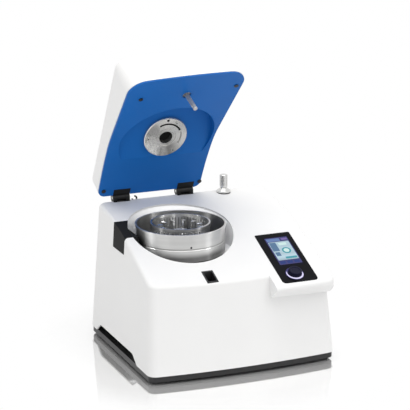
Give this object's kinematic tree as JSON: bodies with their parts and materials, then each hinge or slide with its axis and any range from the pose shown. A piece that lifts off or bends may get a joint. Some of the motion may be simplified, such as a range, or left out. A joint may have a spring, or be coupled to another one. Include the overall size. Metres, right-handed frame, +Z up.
{
  "type": "centrifugal rotor mill",
  "caption": "Bench rotor mill with a round chamber, pan, ring sieve and toothed rotor under a thick hinged lid, with a touch display and a push-and-turn knob.",
  "frame": {"origin": "on the table, in the middle of the footprint of the instrument with its lid open", "axes": "+Z up, the front with the display looks along -Y, +X to the right as seen from the front"},
  "size_m": [0.41, 0.4176, 0.6291],
  "materials": {
    "white_shell": "satin",
    "blue_liner": "satin",
    "base_black": "matt",
    "feet_rubber": "matt",
    "chamber_steel": "spun",
    "pan_steel": "spun",
    "sieve_steel": "ground",
    "rotor_steel": "ground",
    "disc_steel": "spun",
    "pin_steel": "polished",
    "screw_steel": "plain",
    "seal_rubber": "matt",
    "machine_aluminium": "plain",
    "post_steel": "plain",
    "bearing_steel": "polished",
    "fan_black": "matt",
    "hinge_black": "satin",
    "hinge_pin_steel": "dark",
    "latch_black": "satin",
    "catch_steel": "plain",
    "plug_plastic": "satin",
    "bezel_black": "gloss",
    "screen_glass": "lit",
    "ring_light": "lit",
    "knob_black": "satin",
    "board_green": "matt",
    "panel_paint": "satin",
    "inlet_black": "satin"
  },
  "bodies": {
    "base": {"housing": "white_shell", "base_tray": "base_black", "feet": "feet_rubber", "chamber_tub": "chamber_steel", "tub_screws": "screw_steel", "chamber_seal": "seal_rubber", "motor_plate": "machine_aluminium", "motor_posts": "post_steel", "motor_casing": "machine_aluminium", "motor_stator": "post_steel", "motor_end_bell": "machine_aluminium", "bearing_outer_rings": "bearing_steel", "bearing_balls": "bearing_steel", "shaft_seal": "seal_rubber", "tool_holder": "base_black", "hinge_brackets": "hinge_black", "hinge_pins": "hinge_pin_steel", "lid_stop_hook": "hinge_black", "latch_socket": "latch_black", "latch_actuator": "latch_black", "display_bezel": "bezel_black", "touch_screen": "screen_glass", "knob_ring": "ring_light", "knob_encoder": "board_green", "control_board": "board_green", "power_converter": "machine_aluminium", "rear_panel": "panel_paint", "panel_screws": "screw_steel", "power_inlet": "inlet_black", "switch_frame": "inlet_black", "fan_frame": "fan_black"},
    "shaft": {"motor_shaft": "post_steel", "magnet_core": "post_steel", "bearing_inner_rings": "bearing_steel", "drive_hub": "rotor_steel", "cooling_impeller": "fan_black"},
    "rotor": {"toothed_rotor": "rotor_steel"},
    "pan": {"collecting_pan": "pan_steel"},
    "sieve": {"ring_sieve": "sieve_steel"},
    "passage_cover": {"passage_cover": "base_black"},
    "tool": {"rotor_tool": "pin_steel"},
    "catch": {"latch_catch": "catch_steel"},
    "plunger": {"knob_plunger": "knob_black"},
    "knob": {"control_knob": "knob_black"},
    "rocker": {"switch_rocker": "inlet_black"},
    "fan": {"fan_impeller": "fan_black"},
    "fuse": {"fuse_drawer": "inlet_black"},
    "lid": {"lid_shell": "white_shell", "lid_liner": "blue_liner", "liner_screws": "screw_steel", "labyrinth_disc": "disc_steel", "disc_screws": "screw_steel", "feed_tube": "disc_steel", "lid_frame": "machine_aluminium", "latch_pin": "pin_steel", "hinge_leaves": "hinge_black"},
    "feed_plug": {"feed_plug": "plug_plastic"}
  },
  "joints": [
    {"name": "lid_hinge", "type": "hinge", "parent": "base", "child": "lid", "pos_m": [0, 0.1614, 0.2953], "axis": [-1, 0, 0], "range_deg": [-68.5, 0]},
    {"name": "feed_plug_lift", "type": "slide", "parent": "lid", "child": "feed_plug", "axis": [0, 0.9304, 0.3665], "range_m": [0, 0.06]},
    {"name": "shaft_spin", "type": "hinge", "parent": "base", "child": "shaft", "pos_m": [-0.0635, -0.001, 0.2], "axis": [0, 0, 1], "continuous": true},
    {"name": "rotor_lift", "type": "slide", "parent": "shaft", "child": "rotor", "axis": [0, 0, 1], "range_m": [0, 0.12]},
    {"name": "pan_lift", "type": "slide", "parent": "base", "child": "pan", "axis": [0, 0, 1], "range_m": [0, 0.06]},
    {"name": "sieve_lift", "type": "slide", "parent": "pan", "child": "sieve", "axis": [0, 0, 1], "range_m": [0, 0.06]},
    {"name": "passage_cover_lift", "type": "slide", "parent": "base", "child": "passage_cover", "axis": [0, 0, 1], "range_m": [0, 0.06]},
    {"name": "tool_lift", "type": "slide", "parent": "base", "child": "tool", "axis": [0, 0, 1], "range_m": [0, 0.045]},
    {"name": "latch_catch_slide", "type": "slide", "parent": "base", "child": "catch", "axis": [-1, 0, 0], "range_m": [0, 0.009]},
    {"name": "knob_press", "type": "slide", "parent": "base", "child": "plunger", "axis": [0, -0.3714, 0.9285], "range_m": [-0.0015, 0], "stiffness_N_per_m": 600, "springref_m": 0.002},
    {"name": "knob_turn", "type": "hinge", "parent": "plunger", "child": "knob", "pos_m": [0.116, -0.17899, 0.19804], "axis": [0, -0.3714, 0.9285], "continuous": true},
    {"name": "mains_switch_rock", "type": "hinge", "parent": "base", "child": "rocker", "pos_m": [-0.062, 0.16936, 0.07796], "axis": [-1, 0, 0], "range_deg": [0, 18]},
    {"name": "fan_spin", "type": "hinge", "parent": "base", "child": "fan", "pos_m": [0.08, 0.15812, 0.15154], "axis": [0, 0.999, 0.044], "continuous": true},
    {"name": "fuse_drawer_slide", "type": "slide", "parent": "base", "child": "fuse", "axis": [0, 0.999, 0.044], "range_m": [0, 0.022]}
  ],
  "couplings": [
    {"joint": "pan_lift", "follows": "rotor_lift", "ratio": 0.5}
  ]
}
